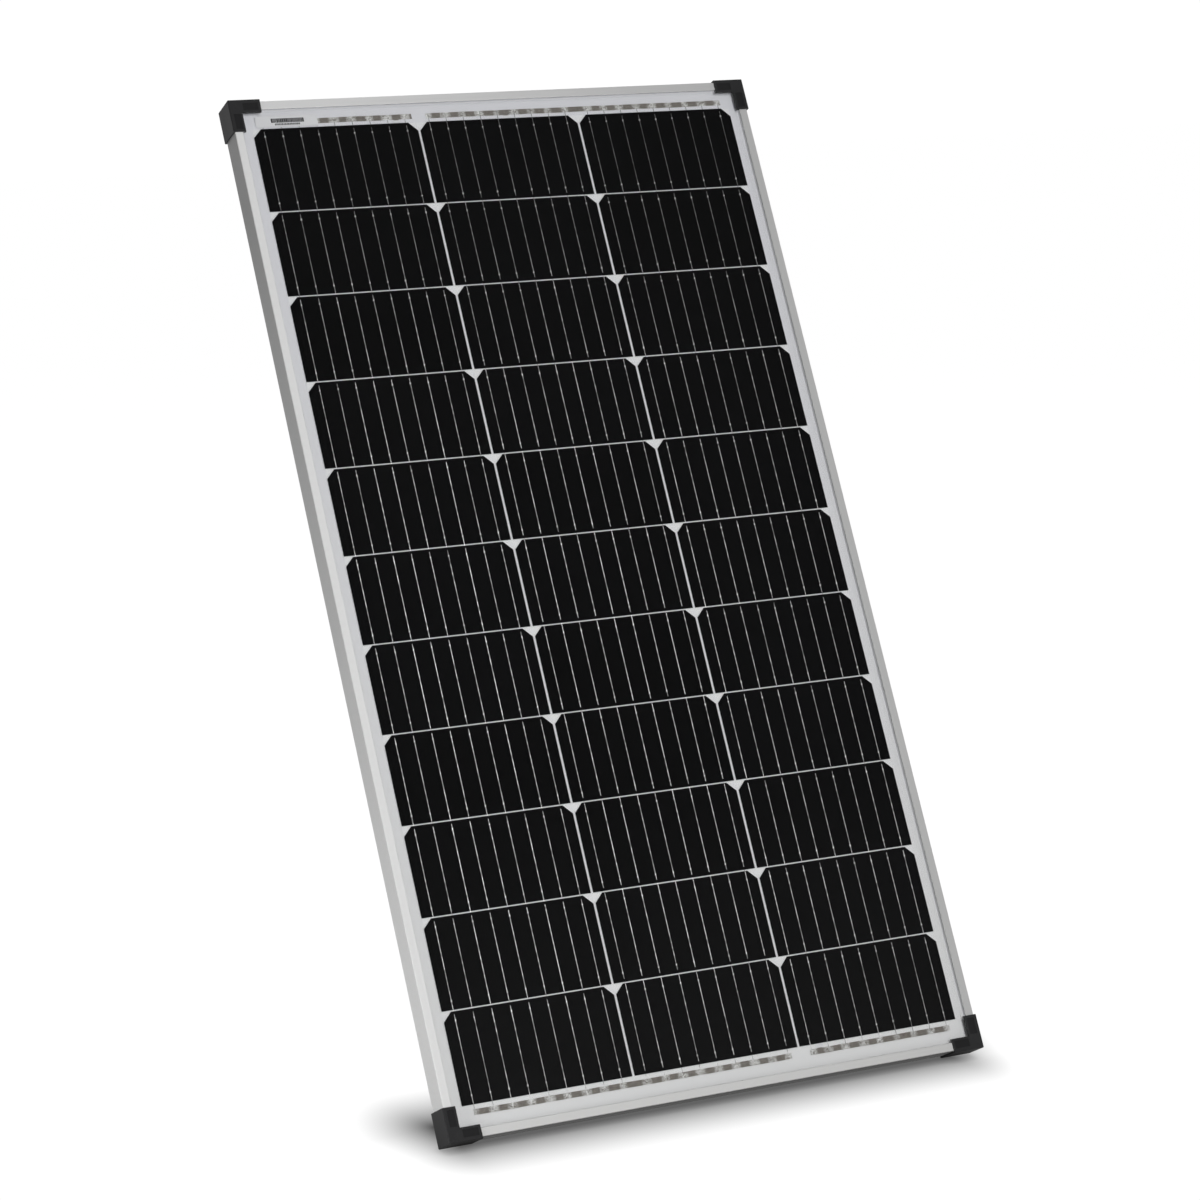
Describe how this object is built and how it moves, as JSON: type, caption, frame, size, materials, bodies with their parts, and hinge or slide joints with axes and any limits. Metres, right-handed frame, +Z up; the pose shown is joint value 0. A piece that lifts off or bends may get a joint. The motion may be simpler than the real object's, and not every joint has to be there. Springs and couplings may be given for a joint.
{
  "type": "solar panel",
  "caption": "Framed monocrystalline solar panel with glass front, black corner protectors, rear junction box with hinged lid, and two leads with plug connectors.",
  "frame": {"origin": "centre of the bottom of the panel's box, in the plane the bottom corner protectors stand on, half way through the depth", "axes": "+X to the right seen from the sun side, -Y towards the sun side, +Y towards the junction box, +Z up the long side"},
  "size_m": [0.5426, 0.0286, 0.9836],
  "materials": {
    "frame_aluminium": "silver anodised, fine extrusion grain",
    "key_aluminium": "die-cast",
    "cap_plastic": "moulded, fine grain",
    "seal_rubber": "silicone bead",
    "front_glass": "tempered, clear",
    "encapsulant": "clear, laminated",
    "cell_silicon": "near-black, anti-reflection coated",
    "tinned_copper": "tin-plated copper",
    "backsheet_film": "white film",
    "label_paper": "printed label",
    "film": "insulating film",
    "box_plastic": "moulded, fine grain",
    "box_glue": "silicone adhesive",
    "gasket_rubber": "soft rubber",
    "pin_steel": "ground rod",
    "diode_body": "moulded epoxy",
    "cable_rubber": "extruded jacket",
    "plug_plastic": "moulded"
  },
  "bodies": {
    "panel": {"backsheet": "backsheet_film", "barcode_label": "label_paper", "bottom_rail": "frame_aluminium", "box_adhesive": "box_glue", "box_base": "box_plastic", "bus_ribbon_bottom_left": "tinned_copper", "bus_ribbon_bottom_right": "tinned_copper", "bus_ribbon_top_left": "tinned_copper", "bus_ribbon_top_right": "tinned_copper", "bypass_diodes": "diode_body", "cable_negative_core": "tinned_copper", "cable_negative_jacket": "cable_rubber", "cable_positive_core": "tinned_copper", "cable_positive_jacket": "cable_rubber", "cell_string_left": "cell_silicon", "cell_string_middle": "cell_silicon", "cell_string_right": "cell_silicon", "cell_wires_left": "tinned_copper", "cell_wires_middle": "tinned_copper", "cell_wires_right": "tinned_copper", "corner_cap_bottom_left": "cap_plastic", "corner_cap_bottom_right": "cap_plastic", "corner_cap_top_left": "cap_plastic", "corner_cap_top_right": "cap_plastic", "corner_keys": "key_aluminium", "crimp_blocks": "tinned_copper", "edge_seal": "seal_rubber", "front_encapsulant": "encapsulant", "front_glass": "front_glass", "gland_nuts": "box_plastic", "gland_seals": "gasket_rubber", "hinge_pin": "pin_steel", "lead_film": "film", "lead_middle": "tinned_copper", "lead_negative": "tinned_copper", "lead_positive": "tinned_copper", "left_rail": "frame_aluminium", "lid_gasket": "gasket_rubber", "plug_body": "plug_plastic", "plug_contact": "tinned_copper", "plug_nut": "plug_plastic", "plug_seal": "gasket_rubber", "rear_encapsulant": "encapsulant", "rear_label": "label_paper", "right_rail": "frame_aluminium", "socket_body": "plug_plastic", "socket_contact": "tinned_copper", "socket_nut": "plug_plastic", "socket_seal": "gasket_rubber", "terminals": "tinned_copper", "top_rail": "frame_aluminium"},
    "lid": {"box_lid": "box_plastic"}
  },
  "joints": [
    {"name": "lid_hinge", "type": "hinge", "parent": "panel", "child": "lid", "pos_m": [0, 0.0101, 0.9486], "axis": [1, 0, 0], "range_deg": [0, 110]}
  ]
}
